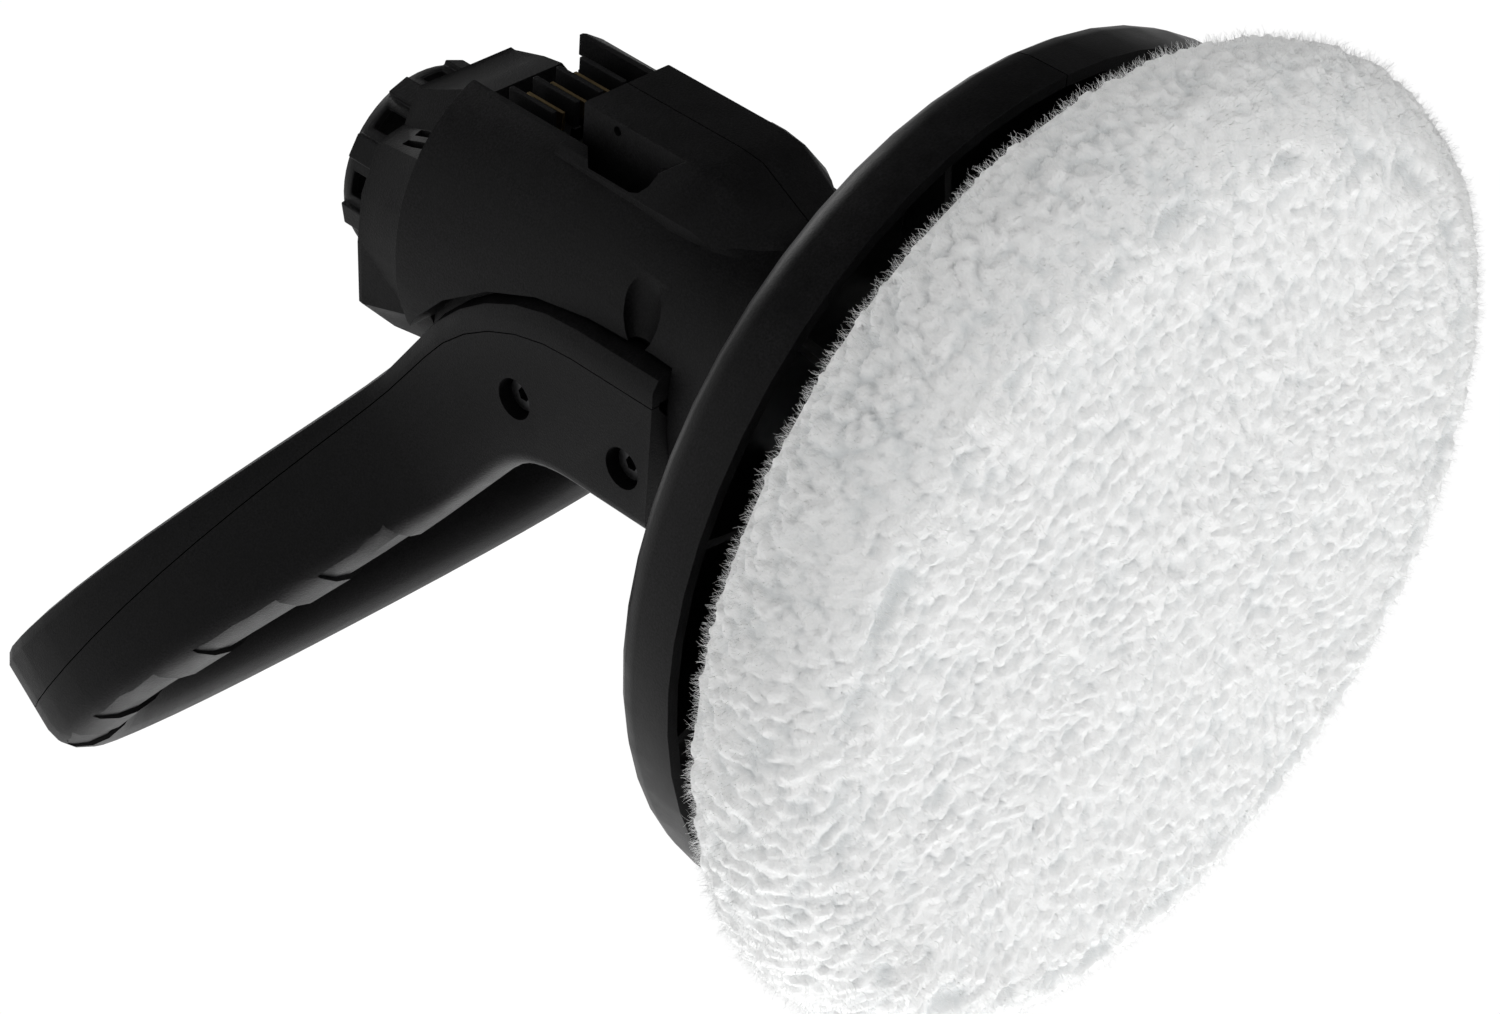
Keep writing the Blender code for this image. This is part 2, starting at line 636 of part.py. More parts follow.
def radial_box(name, degrees, near, far, half, low, high, centre_y=0.0):
    """A block that points outwards from an upright axis at an angle."""
    block = box(name, (near, -half, low), (far, half, high))
    block.location = (0, centre_y * MM, 0)
    block.rotation_euler.z = math.radians(degrees)
    return block


def make_dock_parts():
    """The terminal block, its insulating fins with a blade between each two, and the board."""
    top = DOCK_FLOOR_Y + 3.3
    block = box("terminal_block", (-13, DOCK_FLOOR_Y + GAP, 190), (13, top, 214), COVER)
    for index, x in enumerate((-12, -4, 4, 12), start=1):
        fin = box(f"terminal_fin_{index}", (x - 0.8, top - 1, 196), (x + 0.8, top + 7.6, 212))
        combine(block, fin, "UNION")
    for index, x in enumerate((-8, 0, 8), start=1):
        box(f"contact_blade_{index}", (x - 0.5, top + GAP, 197), (x + 0.5, top + 5.3, 210), BRASS)
    box("control_board", (-10.5, 41.5, 144), (10.5, 43.1, 178), BOARD)


def make_switch():
    """A rocker in the wall between the handle's arms, with its body behind it."""
    box("switch_body", (-7, -41, 189), (7, -29, 209), COVER)
    rocker = [(-43.2, 190.2), (-47.4, 191.0), (-45.4, 199.0), (-47.0, 207.0), (-43.2, 207.8),
              (-41.6, 199.0)]
    pivot = Vector((0, -43.0, 199.0))
    shifted = [(y - pivot.y, z - pivot.z) for y, z in rocker]
    paddle = prism("switch_rocker", shifted, -6.6, 6.6, COVER, plane="YZ")
    paddle.location = pivot * MM


def make_leads():
    """Two insulated leads from the switch to the motor's end bell."""
    path = [(4.5, -27.7, 205), (6, -27.2, 209), (10, -24, 211.2), (13, -19, 211), (14, -15, 209.6)]
    for name, side, spec in (("motor_lead_red", 1, RED), ("motor_lead_black", -1, BLACK)):
        tube(name, [Vector((side * x, y, z)) for x, y, z in path], 1.0, spec)


def tube(name, points, radius, spec, count=8):
    """A round tube along a path, closed at both ends."""
    rings = []
    for i, point in enumerate(points):
        along = points[min(i + 1, len(points) - 1)] - points[max(i - 1, 0)]
        turn = Vector((0, 0, 1)).rotation_difference(along)
        spokes = [Vector((*polar(radius, 360 * k / count), 0)) for k in range(count)]
        rings.append([point + turn @ spoke for spoke in spokes])
    return loft(name, rings, spec)


# ---------------------------------------------------------------- loop handle

def side_profile(distance):
    """Where the handle's middle surface runs in Y and Z, and its tangent, at a distance."""
    straight = BEND_START_Z - BLOCK_LOW_Z
    arc = BEND_R * BEND
    if distance <= straight:
        return Vector((0, BLOCK_MID_Y, BLOCK_LOW_Z + distance)), Vector((0, 0, 1))
    turn = min((distance - straight) / BEND_R, BEND)
    place = Vector((0, BLOCK_MID_Y - BEND_R * (1 - math.cos(turn)),
                    BEND_START_Z + BEND_R * math.sin(turn)))
    tangent = Vector((0, -math.sin(turn), math.cos(turn)))
    return place + tangent * max(0.0, distance - straight - arc), tangent


LOOP_START = BEND_START_Z - BLOCK_LOW_Z + BEND_R * BEND + BEND_TO_LOOP


def outer_outline():
    """The handle's outer edge as (side, distance) pairs, from the block's foot to X = 0."""
    face = HANDLE_FACE_X
    start = [(face, d) for d in (0, 28.3, 36, 44, 52, 60, 68, 76)]
    widest = (LOOP_HALF_WIDTH, LOOP_WIDEST)
    bends = [((face + 1.6, 0), (50, 22), (LOOP_HALF_WIDTH, 55), widest),
             (widest, (LOOP_HALF_WIDTH, 145), (80, LOOP_LENGTH), (0, LOOP_LENGTH))]
    loop = []
    for bend in bends:
        points = interpolate_bezier(*(Vector(knot) for knot in bend), LOOP_STEPS)
        loop += [(p.x, p.y + LOOP_START) for p in points[1 if loop else 0:]]
    return start + loop


def ease(value, low, high):
    share = max(0.0, min(1.0, (value - low) / (high - low)))
    return share * share * (3 - 2 * share)


def handle_frame(point, along):
    """A station's centre, outward and upward axes, thickness, width, parting and channel depth."""
    outward = Vector((along.y, -along.x))
    thick = HANDLE_FACE_X - HANDLE_SEAT_X
    thick += (ARM_THICK - thick) * ease(point.y, LOOP_START - 1, LOOP_START + 28)
    middle = point - outward * thick / 2
    place, tangent = side_profile(middle.y)
    centre = Vector((middle.x, place.y, place.z))
    axis = Vector((outward.x, 0, 0)) + tangent * outward.y
    upward = Vector((0, tangent.z, -tangent.y))
    width = BLOCK_WIDTH + (ARM_WIDTH - BLOCK_WIDTH) * ease(point.y, 30, LOOP_START)
    width += (END_WIDTH - ARM_WIDTH) * ease(point.y, LOOP_START, LOOP_START + LOOP_WIDEST)
    parting = BLOCK_PARTING * (1 - ease(point.y, LOOP_START - 10, LOOP_START + 125))
    depth = 0.12 + 0.88 * ease(point.y, LOOP_START - 25, LOOP_START + 10)
    return centre, axis, upward, thick, width, parting, depth


def handle_frames():
    """Every station of the loop, from one block to the other."""
    outline = [Vector(p) for p in outer_outline()]
    half = []
    for i, point in enumerate(outline[:-1]):
        along = outline[i + 1] - outline[max(i - 1, 0)]
        half.append(handle_frame(point, along.normalized()))
    half.append(handle_frame(outline[-1], Vector((-1, 0))))
    other = []
    for centre, axis, *rest in reversed(half[:-1]):
        centre = Vector((-centre.x, centre.y, centre.z))
        axis = Vector((-axis.x, axis.y, axis.z))
        other.append((centre, axis, *rest))
    return half + other


def underside(offset, thick, width):
    """How low the handle's rounded underside lies at an outward offset from its middle."""
    share = min(1.0, abs(offset) * 2 / thick)
    return UNDERSIDE * thick * (1 - math.sqrt(1 - share * share)) - width / 2


def lower_section(thick, width, parting, depth):
    """The lower shell's outline: rounded underneath, with a channel open towards the parting."""
    a, top = thick / 2, parting - GAP
    inner = a - HANDLE_WALL
    floor = top - depth * (top + width / 2 - HANDLE_WALL)
    curve = UNDERSIDE * thick
    channel = [(a, top), (inner, top), (inner, floor + curve * 0.7), (inner - curve * 0.6, floor)]
    channel += [(-x, y) for x, y in reversed(channel)]
    bottom = [(-share * a, underside(share * a, thick, width))
              for share in (1, 0.93, 0.72, 0.38, 0, -0.38, -0.72, -0.93, -1)]
    return channel + bottom


def upper_section(thick, width, parting, depth):
    """The upper shell's outline, with a channel open towards the lower shell."""
    a, b, soft = thick / 2, width / 2, min(thick / 2, 5.0)
    inner = a - HANDLE_WALL
    roof = parting + depth * (b - HANDLE_WALL - parting)
    return [(a, parting), (a, b - soft * 0.8), (a - soft * 0.35, b - soft * 0.2), (a - soft, b),
            (-a + soft, b), (-a + soft * 0.35, b - soft * 0.25), (-a, b - soft), (-a, parting),
            (-inner, parting), (-inner, roof), (inner, roof), (inner, parting)]


def sweep(name, frames, outline, spec=None):
    """Skin an outline of (outward, upward) offsets along the stations."""
    rings = []
    for centre, axis, upward, *sizes in frames:
        rings.append([centre + axis * a + upward * b for a, b in outline(*sizes)])
    return loft(name, rings, spec)


def pocket(name, frames, first, last):
    """A slanted shallow pocket across the underside, between two stations of the loop."""
    rings = []
    for i in range(first, last + 1):
        centre, axis, upward, thick, width, _, _ = frames[i]
        ahead = (frames[i + 1][0] - frames[i - 1][0]).normalized() * POCKET_SLANT / POCKET_HALF
        offsets = [POCKET_HALF * share for share in (1, 0.85, 0.5, 0, -0.5, -0.85, -1)]
        floor = [(a, underside(a, thick, width) + POCKET_DEPTH) for a in offsets]
        outline = floor + [(-POCKET_HALF, -width / 2 - 3), (POCKET_HALF, -width / 2 - 3)]
        rings.append([centre + axis * a + upward * b + ahead * a for a, b in outline])
    return loft(name, rings, split=True)


def make_handle():
    """A lower shell with both mounting blocks, and an upper shell over it."""
    frames = handle_frames()
    sweep("handle_upper", frames, upper_section, PLASTIC)
    lower = sweep("handle_lower", frames, lower_section, PLASTIC)
    for side in (1, -1):
        tag = "left" if side > 0 else "right"
        for index, z in enumerate(SCREW_Z, start=1):
            place = (SCREW_Y, z)
            low, high = sorted((side * 35.0, side * 50))
            combine(lower, cylinder(f"counterbore_{tag}_{index}", 5.7, low, high, None, 20, "X", place))
            low, high = sorted((side * 20, side * 40))
            combine(lower, cylinder(f"clearance_{tag}_{index}", 2.5, low, high, None, 12, "X", place))
            screw_x(f"handle_screw_{tag}_{index}", side * 35.3, side * 21, 4.6, 3.2, 2.1, place,
                    DARK_STEEL)
    last = len(frames) - 1
    for index, station in enumerate((10, 13, 16, 19), start=1):
        combine(lower, pocket(f"grip_pocket_left_{index}", frames, station, station + 2))
        start = last - station - 2
        combine(lower, pocket(f"grip_pocket_right_{index}", frames, start, start + 2))


def main():
    make_bonnet()
    make_pad_stack()
    make_gears()
    make_spindle()
    make_gearbox()
    make_motor()
    make_fan()
    make_housing()
    make_collar()
    make_end_cap()
    make_dock_parts()
    make_switch()
    make_leads()
    make_handle()


main()
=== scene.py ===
"""Looks for the cordless rotary polisher: wool bonnet, foam, moulded plastic, metals and light.

Lengths are in metres in the frame's own coordinates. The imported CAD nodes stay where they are.
The soft pieces are replaced by detailed meshes, and every node gets a procedural finish.
"""

import json
import math

import bpy
import numpy as np
from mathutils import Matrix, Vector, noise


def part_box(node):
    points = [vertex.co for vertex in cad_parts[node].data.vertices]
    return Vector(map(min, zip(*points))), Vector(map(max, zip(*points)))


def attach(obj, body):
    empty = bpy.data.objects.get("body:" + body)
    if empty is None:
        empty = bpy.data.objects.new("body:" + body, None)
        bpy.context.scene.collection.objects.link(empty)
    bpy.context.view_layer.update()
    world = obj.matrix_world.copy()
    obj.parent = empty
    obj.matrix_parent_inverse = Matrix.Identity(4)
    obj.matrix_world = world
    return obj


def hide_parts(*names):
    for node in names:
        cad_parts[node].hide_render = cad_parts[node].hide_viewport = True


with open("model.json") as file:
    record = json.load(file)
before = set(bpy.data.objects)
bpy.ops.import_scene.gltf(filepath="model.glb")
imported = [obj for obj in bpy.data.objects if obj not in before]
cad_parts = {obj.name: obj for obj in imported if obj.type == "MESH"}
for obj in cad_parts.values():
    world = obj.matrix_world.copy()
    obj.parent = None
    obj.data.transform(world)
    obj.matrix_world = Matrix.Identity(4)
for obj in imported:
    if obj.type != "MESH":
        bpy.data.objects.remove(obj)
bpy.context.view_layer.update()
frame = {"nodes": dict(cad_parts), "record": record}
NODES = frame["nodes"]
MM = 0.001
NOISE_SEED = 5
noise.seed_set(NOISE_SEED)


# ---------------------------------------------------------------- node helpers

class Finish:
    """A Principled material, with short calls for the nodes that drive it."""

    def __init__(self, name, roughness=0.5, metallic=0.0, ior=1.45):
        self.material = bpy.data.materials.new(name)
        self.material.use_nodes = True
        self.tree = self.material.node_tree
        self.shader = self.tree.nodes["Principled BSDF"]
        self.place = self.tree.nodes.new("ShaderNodeTexCoord").outputs["Object"]
        self.set("Roughness", roughness)
        self.set("Metallic", metallic)
        self.set("IOR", ior)

    def set(self, socket, value):
        self.shader.inputs[socket].default_value = value

    def link(self, output, socket):
        self.tree.links.new(output, self.shader.inputs[socket])

    def node(self, kind, inputs=(), **settings):
        made = self.tree.nodes.new(kind)
        for key, value in settings.items():
            setattr(made, key, value)
        for key, value in dict(inputs).items():
            if isinstance(value, bpy.types.NodeSocket):
                self.tree.links.new(value, made.inputs[key])
            else:
                made.inputs[key].default_value = value
        return made

    def noise(self, size_mm, detail=4.0, rough=0.55, place=None):
        """Noise whose features are about size_mm across."""
        inputs = {"Vector": place or self.place, "Scale": 1000.0 / size_mm, "Detail": detail,
                  "Roughness": rough}
        return self.node("ShaderNodeTexNoise", inputs).outputs["Fac"]

    def cells(self, size_mm, feature="F1", place=None):
        inputs = {"Vector": place or self.place, "Scale": 1000.0 / size_mm}
        return self.node("ShaderNodeTexVoronoi", inputs, feature=feature).outputs["Distance"]

    def ranged(self, value, low, high, to_low, to_high):
        inputs = {"Value": value, "From Min": low, "From Max": high, "To Min": to_low,
                  "To Max": to_high}
        return self.node("ShaderNodeMapRange", inputs).outputs["Result"]

    def math(self, operation, first, second=0.0):
        return self.node("ShaderNodeMath", {0: first, 1: second}, operation=operation).outputs[0]

    def mixed(self, share, first, second):
        """Blend two colours, each a triple or a colour socket, by a share."""
        mix = self.node("ShaderNodeMix", {"Factor": share}, data_type="RGBA")
        for index, value in ((6, first), (7, second)):
            if isinstance(value, bpy.types.NodeSocket):
                self.tree.links.new(value, mix.inputs[index])
            else:
                mix.inputs[index].default_value = (*value, 1.0)
        return mix.outputs[2]

    def stretched(self, x, y, z):
        inputs = {"Vector": self.place, "Scale": (x, y, z)}
        return self.node("ShaderNodeMapping", inputs).outputs["Vector"]

    def bump(self, height, depth_mm, strength=1.0, below=None):
        inputs = {"Height": height, "Strength": strength, "Distance": depth_mm * MM}
        if below is not None:
            inputs["Normal"] = below
        normal = self.node("ShaderNodeBump", inputs).outputs["Normal"]
        self.link(normal, "Normal")
        return normal


# ---------------------------------------------------------------- finishes

def moulded_plastic(name, dark, pale, grain_mm, satin_below_mm=None):
    """Black moulded plastic with a spark-eroded grain, and a smoother satin band below a height."""
    made = Finish(name, ior=1.20)
    mottle = made.noise(9.0, 5.0)
    speck = made.ranged(made.cells(1.7), 0.02, 0.16, 1.0, 0.0)
    grain = made.noise(grain_mm, 3.0, 0.6)
    shade = made.math("MULTIPLY", made.ranged(grain, 0.35, 0.7, 0.0, 1.6), mottle)
    made.link(made.mixed(shade, dark, pale), "Base Color")
    rough = made.ranged(mottle, 0.3, 0.7, 0.46, 0.56)
    if satin_below_mm is not None:
        height = made.node("ShaderNodeSeparateXYZ", {0: made.place}).outputs["Z"]
        satin = made.ranged(height, (satin_below_mm - 3) * MM, (satin_below_mm + 3) * MM, 1.0, 0.0)
        rough = made.math("SUBTRACT", rough, made.math("MULTIPLY", satin, 0.12))
        grain = made.math("MULTIPLY", grain, made.ranged(satin, 0.0, 1.0, 1.0, 0.4))
    made.link(made.math("ADD", rough, made.math("MULTIPLY", speck, 0.05)), "Roughness")
    swell = made.bump(made.noise(30.0, 2.0), 0.12, 0.5)
    made.bump(grain, 0.14, 0.8, swell)
    return made.material


def worn_metal(name, colour, rough, brushed=(1, 1, 14), spots=None):
    """Machined or cast metal: fine tool lines, soft clouding and faint darker spots."""
    made = Finish(name, metallic=1.0)
    cloud = made.noise(6.0, 4.0)
    shade = tuple(c * 0.72 for c in colour)
    tinted = made.mixed(made.ranged(cloud, 0.35, 0.7, 0.0, 1.0), colour, shade)
    if spots:
        blot = made.ranged(made.noise(2.0, 6.0), 0.58, 0.7, 0.0, 0.6)
        tinted = made.mixed(blot, tinted, spots)
    made.link(tinted, "Base Color")
    lines = made.noise(1.2, 3.0, place=made.stretched(*brushed))
    made.link(made.ranged(lines, 0.2, 0.8, rough - 0.07, rough + 0.1), "Roughness")
    made.bump(lines, 0.03, 0.6)
    return made.material


def windings(name):
    """Enamelled copper wire packed in the rotor's slots, with painted shade in the grooves between turns.
    """
    made = Finish(name, 0.3, 1.0)
    wire = made.node("ShaderNodeTexWave", {"Vector": made.place, "Scale": 260.0, "Distortion": 1.5},
                     bands_direction="Z").outputs["Fac"]
    # Painted shade: dark copper in the grooves between the turns, paler on the wire.
    made.link(made.mixed(wire, (0.20, 0.07, 0.03), (0.62, 0.28, 0.13)), "Base Color")
    made.link(made.ranged(made.noise(2.0), 0.2, 0.8, 0.22, 0.42), "Roughness")
    made.bump(wire, 0.25, 0.9)
    return made.material


def circuit_board(name):
    """Green solder mask with lighter traces."""
    made = Finish(name)
    trace = made.node("ShaderNodeTexBrick", {"Vector": made.place, "Scale": 170.0,
                      "Mortar Size": 0.03}).outputs["Fac"]
    made.link(made.mixed(trace, (0.010, 0.085, 0.030), (0.05, 0.25, 0.09)), "Base Color")
    made.link(made.ranged(made.noise(1.5), 0.2, 0.8, 0.25, 0.45), "Roughness")
    made.bump(trace, 0.06, 0.7)
    return made.material


def plain_moulding(name, dark, pale, rough):
    """Unpainted nylon, insulation or pressed carbon, by its two shades."""
    made = Finish(name)
    cloud = made.noise(3.0, 5.0)
    made.link(made.mixed(cloud, dark, pale), "Base Color")
    made.link(made.ranged(made.noise(1.0), 0.2, 0.8, rough - 0.06, rough + 0.08), "Roughness")
    made.bump(made.noise(0.5, 3.0), 0.04, 0.6)
    return made.material


def foam(name):
    """Open-cell foam: paler struts, with painted shade in the cell hollows."""
    made = Finish(name, 0.95)
    cell = made.cells(1.3)
    # Painted shade: near black in the hollows at the cell centres, paler on the struts.
    pore_shade = made.ranged(cell, 0.1, 0.5, 0.0, 1.0)
    made.link(made.mixed(pore_shade, (0.02, 0.02, 0.022), (0.11, 0.11, 0.12)), "Base Color")
    made.bump(cell, 0.6, 1.0)
    return made.material


def elastic(name):
    """Woven elastic: rubber-cored ribs across the band, with painted shade in the grooves between them.
    """
    made = Finish(name, 0.85)
    ribs = made.node("ShaderNodeTexWave", {"Vector": made.place, "Scale": 330.0, "Distortion": 0.6},
                     bands_direction="Z").outputs["Fac"]
    # Painted shade: grey in the grooves between the ribs, paler on their crowns.
    made.link(made.mixed(ribs, (0.50, 0.50, 0.49), (0.80, 0.80, 0.78)), "Base Color")
    made.set("Sheen Weight", 0.3)
    made.bump(ribs, 0.3, 0.9)
    return made.material


def wool(name):
    """White wool pile: bright tufts, painted cool grey shade in the partings, and painted shade between
    the fine fibres over all.
    """
    made = Finish(name, 0.95, ior=1.3)
    depth = made.node("ShaderNodeAttribute", attribute_name="pile").outputs["Fac"]
    cloud = made.noise(14.0, 3.0)
    tips = made.mixed(cloud, (0.86, 0.867, 0.865), (0.90, 0.897, 0.89))
    # Painted shade: the colour turns cool grey where the pile is low, in the partings between tufts.
    parting_shade = made.ranged(depth, 0.0, 0.42, 1.0, 0.0)
    body = made.mixed(made.math("MULTIPLY", parting_shade, 0.7), tips, (0.64, 0.67, 0.68))
    # Painted shade between the fibres: the low places of the fibre noise are mixed towards cool grey.
    fibre = made.noise(0.55, 5.0, 0.7, made.stretched(1.0, 1.0, 0.45))
    made.link(made.mixed(made.ranged(fibre, 0.35, 0.65, 0.20, 0.0), body, (0.66, 0.69, 0.70)),
              "Base Color")
    made.set("Sheen Weight", 0.35)
    made.set("Sheen Roughness", 0.6)
    made.set("Sheen Tint", (1.0, 1.0, 1.0, 1.0))
    made.set("Subsurface Weight", 0.12)
    made.set("Subsurface Radius", (1.0, 1.0, 1.0))
    made.set("Subsurface Scale", 0.0015)
    lump = made.bump(made.noise(1.6, 4.0, 0.6), 0.5, 0.6)
    made.bump(fibre, 0.25, 0.8, lump)
    return made.material


def make_finishes():
    black = (0.0012, 0.0012, 0.0013)
    soft_black = (0.0078, 0.0076, 0.0082)
    return {
        "housing": moulded_plastic("housing_plastic", black, soft_black, 0.55, 88),
        "black_plastic": moulded_plastic("black_plastic_grain", black, soft_black, 0.5),
        "dark_plastic": moulded_plastic("dark_plastic_grain", (0.003, 0.003, 0.0033),
                                        (0.006, 0.006, 0.0064), 0.8),
        "white_wool": wool("wool_pile"),
        "grey_foam": foam("foam_cells"),
        "white_elastic": elastic("woven_elastic"),
        "steel": worn_metal("machined_steel", (0.50, 0.50, 0.51), 0.3),
        "black_steel": worn_metal("black_oxide", (0.060, 0.060, 0.062), 0.34, (1, 1, 1),
                                  (0.012, 0.012, 0.012)),
        "brass": worn_metal("spring_brass", (0.34, 0.25, 0.12), 0.36, (1, 1, 8), (0.2, 0.13, 0.06)),
        "cast_aluminium": worn_metal("cast_aluminium", (0.46, 0.47, 0.48), 0.42, (1, 1, 1),
                                     (0.25, 0.25, 0.26)),
        "white_nylon": plain_moulding("nylon", (0.62, 0.60, 0.53), (0.76, 0.74, 0.67), 0.42),
        "copper_windings": windings("copper_wire"),
        "carbon": plain_moulding("pressed_carbon", (0.012, 0.012, 0.013), (0.03, 0.03, 0.032), 0.55),
        "green_board": circuit_board("circuit_board"),
        "red_insulation": plain_moulding("red_wire", (0.36, 0.012, 0.012), (0.5, 0.03, 0.025), 0.4),
        "black_insulation": plain_moulding("black_wire", (0.01, 0.01, 0.01), (0.03, 0.03, 0.03), 0.4),
    }


FINISHES = make_finishes()


HOUSING_HALVES = ("left_housing", "right_housing")


def finish_nodes():
    """Give every CAD node the finish of its slot; the housing halves have their own."""
    for entry in frame["record"]["subparts"]:
        node = NODES[entry["node"]]
        key = "housing" if entry["node"] in HOUSING_HALVES else entry["material_slot"]
        material = FINISHES[key]
        if not node.material_slots:
            node.data.materials.append(material)
        for place in node.material_slots:
            place.material = material


# ---------------------------------------------------------------- mesh helpers

def mesh_object(name, points, faces, slot, body, replaced):
    """A new piece from points in metres, riding on a body and standing for a CAD node."""
    mesh = bpy.data.meshes.new(name)
    mesh.from_pydata([tuple(p) for p in points], [], faces)
    mesh.validate()
    mesh.shade_smooth()
    mesh.materials.append(FINISHES[slot])
    obj = bpy.data.objects.new(name, mesh)
    bpy.context.scene.collection.objects.link(obj)
    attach(obj, body)
    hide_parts(replaced)
    return obj


def ring_faces(rings, count):
    """Quads between rings of count points, with the last ring meeting the first."""
    faces = []
    for r in range(rings):
        upper = (r + 1) % rings
        for i in range(count):
            j = (i + 1) % count
            faces.append((r * count + i, r * count + j, upper * count + j, upper * count + i))
    return faces


# ---------------------------------------------------------------- wool bonnet

BONNET_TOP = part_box("wool_bonnet")[1]
BONNET_R = BONNET_TOP[0] / MM
BONNET_HIGH = BONNET_TOP[2] / MM
EDGE_R = BONNET_HIGH / 2
FACE_R = BONNET_R - EDGE_R
PILE = 1.3
PILE_MIDDLE = 0.34
PILE_DEPTH = 3.0
GRID = 312
TUFT = 4.8
CURL = 2.9
GATHERED = 5.0
PARTING_R = 109.0
PARTING_WIDTH = 3.0
INNER_RINGS = ((101.4, 35.8), (118.0, 35.8), (118.0, 9.9))


def outline_at(length):
    """Radius, height and outward direction at a length along the bonnet's outer profile."""
    turn = np.clip((length - FACE_R) / EDGE_R, 0.0, math.pi)
    past = np.maximum(length - FACE_R - EDGE_R * math.pi, 0.0)
    radius = np.minimum(length, FACE_R) + (EDGE_R - PILE) * np.sin(turn) - past
    height = EDGE_R - (EDGE_R - PILE) * np.cos(turn)
    return radius, height, np.sin(turn), -np.cos(turn)


def disc_grid(count):
    """A square grid folded onto a disc, as each point's share of the radius and its angle."""
    line = np.linspace(-1, 1, count + 1)
    a, b = np.meshgrid(line, line, indexing="ij")
    share = np.maximum(abs(a), abs(b))
    wide = abs(a) >= abs(b)
    safe_a = np.where(a == 0, 1, a)
    safe_b = np.where(b == 0, 1, b)
    angle = np.where(wide, math.pi / 4 * b / safe_a, math.pi / 2 - math.pi / 4 * a / safe_b)
    flip = np.where(wide, a < 0, b < 0)
    angle = np.where(share == 0, 0.0, angle + math.pi * flip)
    return share.ravel(), angle.ravel()


def tuft_height(place):
    """Height of the pile, 0 to 1, at a place in millimetres: tufts of three sizes and a wander."""
    wander = noise.noise_vector(place / 7.0) * 1.9 + noise.noise_vector(place / 2.4) * 0.6
    spot = place + wander
    big = noise.voronoi(spot / TUFT)[0]
    small = noise.voronoi(spot / CURL + Vector((7, 3, 1)))[0]
    lobe = max(0.0, 1.0 - (big[0] / 0.80) ** 2)
    parting = min(1.0, (big[1] - big[0]) * 2.2)
    curl = max(0.0, 1.0 - (small[0] / 0.75) ** 2)
    fuzz = noise.turbulence(place / 1.6, 3, False)
    swell = noise.noise(place / 17.0)
    return 0.30 * lobe + 0.12 * parting + 0.24 * curl + 0.16 * fuzz + 0.20 * swell + 0.08


def inner_skin(points, faces, edge):
    """Close the bonnet inside, from its mouth round the pocket that the pad sits in."""
    last = edge
    angles = np.arctan2(points[edge, 1], points[edge, 0])
    extra = []
    for radius, height in INNER_RINGS:
        start = len(points) + len(extra)
        extra += [(radius * math.cos(a), radius * math.sin(a), height) for a in angles]
        ring = list(range(start, start + len(edge)))
        for i, here in enumerate(last):
            j = (i + 1) % len(last)
            faces.append((here, ring[i], ring[j], last[j]))
        last = ring
    extra.append((0.0, 0.0, INNER_RINGS[-1][1]))
    centre = len(points) + len(extra) - 1
    for i, here in enumerate(last):
        faces.append((here, centre, last[(i + 1) % len(last)]))
    return np.vstack([points, extra]), faces


def grid_faces(count):
    """The grid's quads, and its edge points in order round the rim."""
    side = count + 1
    faces = []
    for i in range(count):
        for j in range(count):
            here = i * side + j
            faces.append((here, here + 1, here + side + 1, here + side))
    edge = [i * side for i in range(count)]
    edge += [count * side + j for j in range(count)]
    edge += [i * side + count for i in range(count, 0, -1)]
    edge += [j for j in range(count, 0, -1)]
    return faces, edge


def make_bonnet():
    """The tufted wool cover, its pile parted in a broken ring where the face turns up."""
    share, angle = disc_grid(GRID)
    length = share * (FACE_R + EDGE_R * math.pi + GATHERED)
    radius, height, out, up = outline_at(length)
    flat = np.stack([radius * np.cos(angle), radius * np.sin(angle), height], axis=1)
    normal = np.stack([out * np.cos(angle), out * np.sin(angle), up], axis=1)
    fade = np.clip((1.0 - share) / 0.03, 0.0, 1.0)
    pile = np.array([tuft_height(Vector(p)) for p in flat])
    broken = np.array([noise.noise(Vector((8 * math.cos(a), 8 * math.sin(a), 2))) for a in angle])
    groove = np.exp(-((length - PARTING_R) / PARTING_WIDTH) ** 2) * np.clip(0.35 + 1.5 * broken, 0.0, 1.0)
    pile = np.clip(pile - 0.55 * groove, 0.0, 1.2)
    lift = ((pile - PILE_MIDDLE) * PILE_DEPTH - groove) * fade
    lean = np.stack([-np.sin(angle) * 0.3 + np.cos(angle) * 0.55,
                     np.cos(angle) * 0.3 + np.sin(angle) * 0.55, np.full_like(angle, 0.12)], axis=1)
    points = flat + normal * lift[:, None] + lean * (lift * 0.42)[:, None]
    faces, edge = grid_faces(GRID)
    whole, faces = inner_skin(points, faces, edge)
    bonnet = mesh_object("wool_bonnet_pile", whole * MM, faces, "white_wool", "spindle",
                         "wool_bonnet")
    # The pile height is kept per point and also sets where the wool's painted shade falls.
    store = bonnet.data.attributes.new("pile", "FLOAT", "POINT")
    shade = np.ones(len(whole))
    shade[:len(pile)] = pile
    store.data.foreach_set("value", shade[:len(bonnet.data.vertices)])
    return points, normal, length


